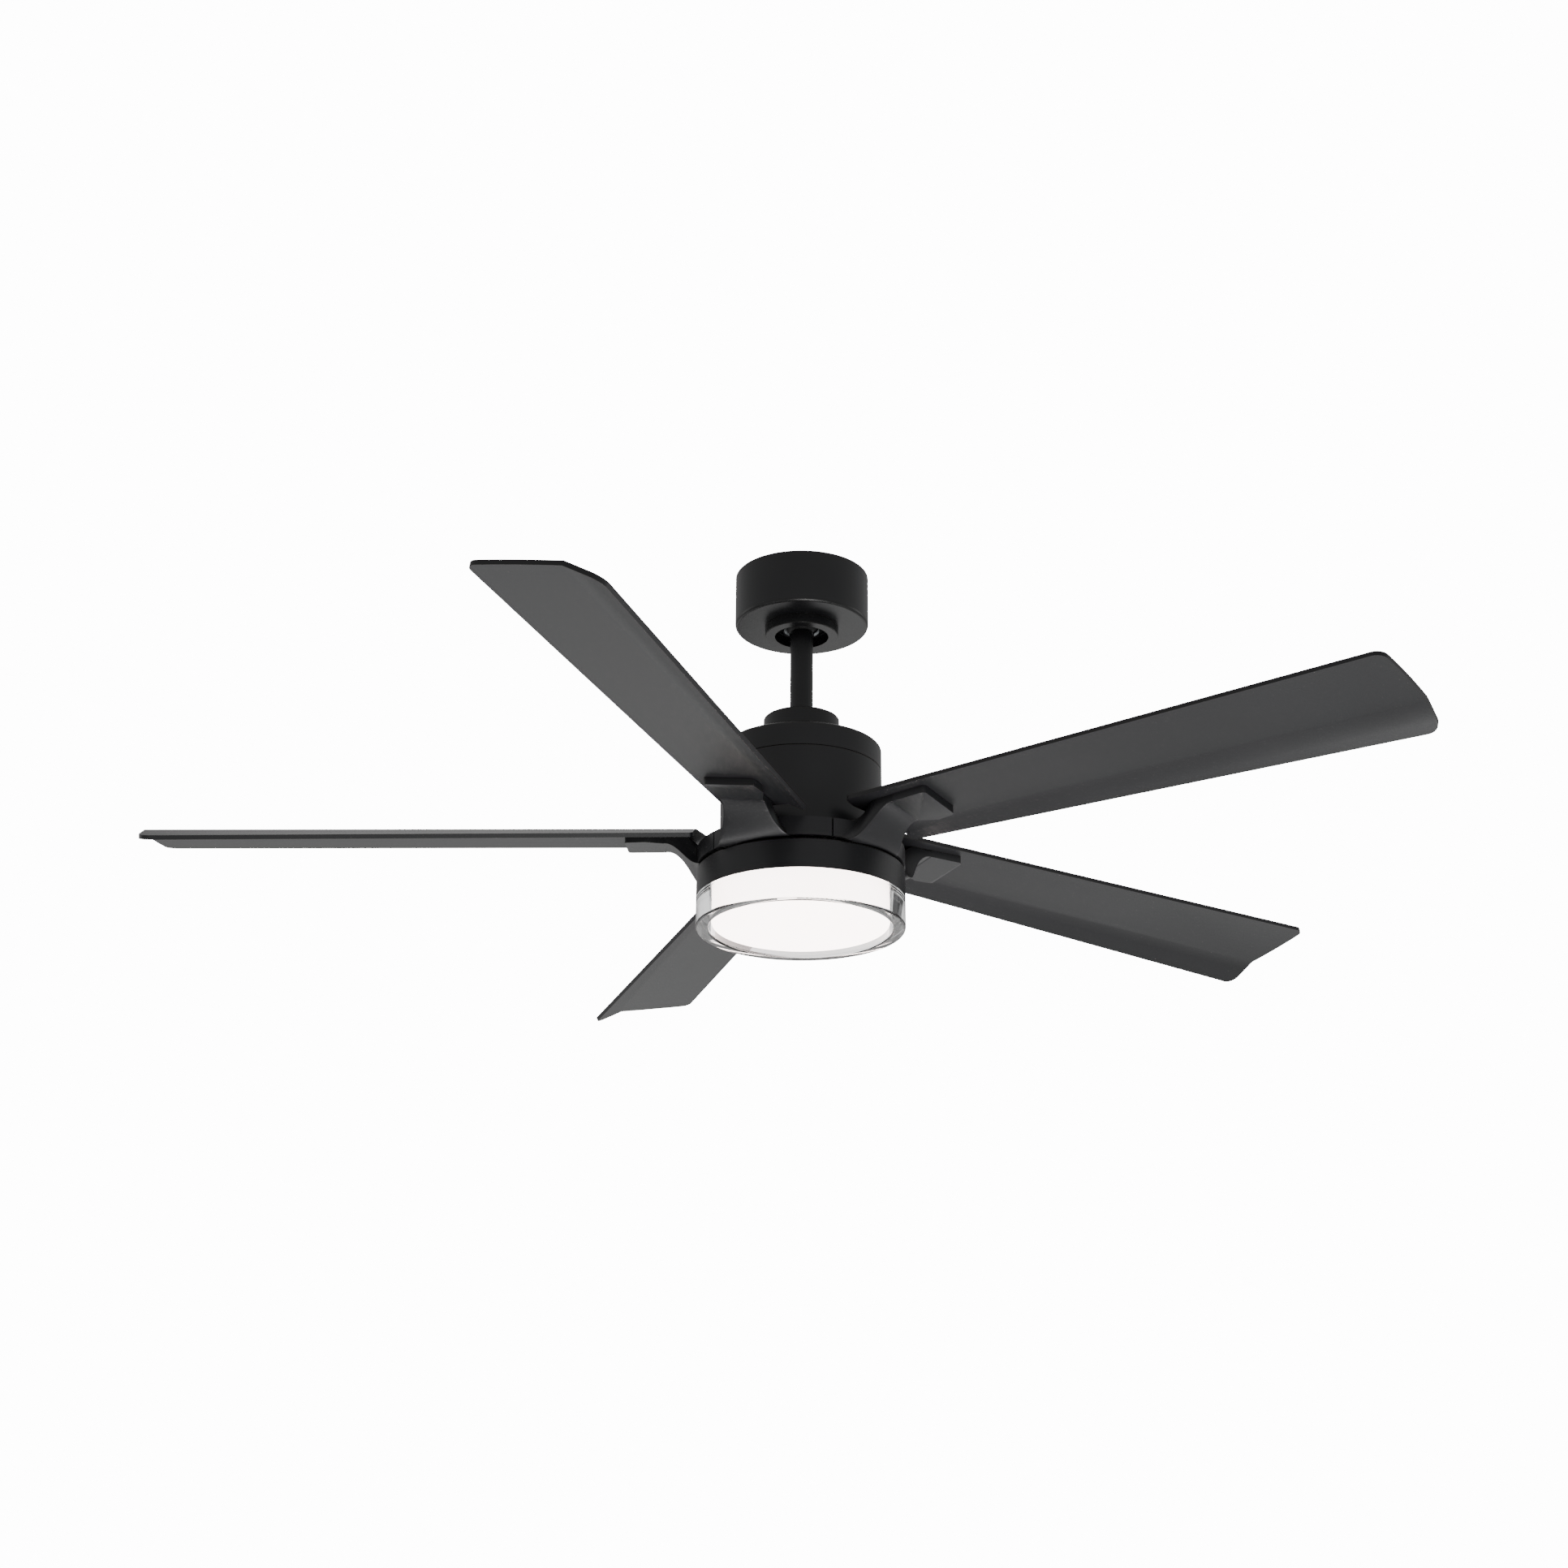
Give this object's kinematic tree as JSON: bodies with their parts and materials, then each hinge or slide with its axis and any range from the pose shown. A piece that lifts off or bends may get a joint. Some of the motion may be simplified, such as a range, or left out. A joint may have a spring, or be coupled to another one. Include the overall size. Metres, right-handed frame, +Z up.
{
  "type": "ceiling fan with light",
  "caption": "Matte black ceiling fan on a short downrod: drum motor, folded blades on swept irons, and a round LED light in a thick clear ring.",
  "frame": {"origin": "on the fan's axis in the ceiling plane, at the middle of the hanger bracket's top face", "axes": "+Z up along the downrod, X along the line of the two ceiling slots, Y across the bracket"},
  "size_m": [1.3229, 1.3821, 0.4165],
  "materials": {
    "black_powder_coat": "matte black powder coat on steel and die-cast metal",
    "black_blade": "matte black moulded blade with a fine satin texture",
    "zinc_steel": "bright zinc plate",
    "green_screw": "green-dyed zinc plate, which marks an earth screw",
    "black_screw": "black-oxide screw",
    "bare_steel": "ground bearing steel",
    "laminated_steel": "stacked electrical steel",
    "cast_aluminium": "bare die-cast aluminium",
    "spun_aluminium": "spun aluminium sheet",
    "copper_winding": "enamelled copper wire",
    "magnet": "sintered ferrite",
    "black_nylon": "moulded nylon",
    "white_nylon": "moulded nylon",
    "circuit_board": "green solder mask",
    "board_parts": "moulded electronic parts",
    "led_board_white": "white solder mask on aluminium",
    "led_phosphor": "yellow LED phosphor",
    "opal_acrylic": "white opal acrylic, lit from inside",
    "clear_shade": "clear polished glass",
    "lead_sleeve": "black braided lead sleeve"
  },
  "bodies": {
    "ceiling_mount": {"hanger_bracket": "zinc_steel", "ground_screw": "green_screw", "canopy": "black_powder_coat", "canopy_screws": "zinc_steel", "receiver_module": "black_nylon", "receiver_lead": "lead_sleeve", "receiver_socket": "white_nylon"},
    "trim_ring": {"canopy_trim_ring": "black_powder_coat"},
    "suspension": {"hanger_ball": "black_nylon", "ball_cross_pin": "zinc_steel", "set_screws": "black_screw", "downrod": "black_powder_coat", "motor_coupling": "cast_aluminium", "clevis_pin": "zinc_steel", "hairpin_cotter": "zinc_steel", "motor_housing_cap": "black_powder_coat", "motor_housing_sleeve": "black_powder_coat", "housing_screws": "black_screw", "motor_shaft": "bare_steel", "stator_core": "laminated_steel", "slot_insulators": "white_nylon", "stator_windings": "copper_winding", "motor_driver_board": "circuit_board", "driver_components": "board_parts", "board_standoffs": "zinc_steel", "bearing_inner_rings": "bare_steel", "light_mounting_plate": "zinc_steel", "light_screws": "zinc_steel", "shaft_nut": "zinc_steel", "light_housing": "black_powder_coat", "led_driver": "white_nylon", "heat_sink_posts": "zinc_steel", "heat_sink": "spun_aluminium", "led_board": "led_board_white", "led_chips": "led_phosphor", "diffuser": "opal_acrylic", "lead_bundle": "lead_sleeve", "fan_plug": "white_nylon"},
    "rod_cover": {"coupling_cover": "black_powder_coat"},
    "rotor": {"rotor_screws": "zinc_steel", "rotor_top_cover": "cast_aluminium", "rotor_can": "bare_steel", "rotor_bottom_cover": "cast_aluminium", "rotor_magnets": "magnet", "bearing_outer_rings": "bare_steel", "iron_screws": "zinc_steel", "blade_screws": "black_screw", "blade_1": "black_blade", "blade_2": "black_blade", "blade_3": "black_blade", "blade_4": "black_blade", "blade_5": "black_blade", "blade_iron_1": "black_powder_coat", "blade_iron_2": "black_powder_coat", "blade_iron_3": "black_powder_coat", "blade_iron_4": "black_powder_coat", "blade_iron_5": "black_powder_coat"},
    "bearing_cage_set": {"bearing_balls": "bare_steel", "bearing_cages": "white_nylon"},
    "glass_shade": {"shade": "clear_shade"}
  },
  "joints": [
    {"name": "hanger_swing", "type": "hinge", "parent": "ceiling_mount", "child": "suspension", "pos_m": [0, 0, -0.046], "axis": [0, 1, 0], "range_deg": [-12, 12]},
    {"name": "fan_spin", "type": "hinge", "parent": "suspension", "child": "rotor", "pos_m": [0, 0, -0.3], "axis": [0, 0, 1], "continuous": true},
    {"name": "bearing_cage_spin", "type": "hinge", "parent": "suspension", "child": "bearing_cage_set", "pos_m": [0, 0, -0.3], "axis": [0, 0, 1], "continuous": true},
    {"name": "coupling_cover_lift", "type": "slide", "parent": "suspension", "child": "rod_cover", "axis": [0, 0, 1], "range_m": [0, 0.06]},
    {"name": "trim_ring_twist", "type": "hinge", "parent": "ceiling_mount", "child": "trim_ring", "pos_m": [0, 0, -0.0715], "axis": [0, 0, 1], "range_deg": [0, 15]},
    {"name": "shade_twist", "type": "hinge", "parent": "suspension", "child": "glass_shade", "pos_m": [0, 0, -0.4], "axis": [0, 0, 1], "range_deg": [0, 20]}
  ],
  "couplings": [
    {"joint": "bearing_cage_spin", "follows": "fan_spin", "ratio": 0.619}
  ]
}
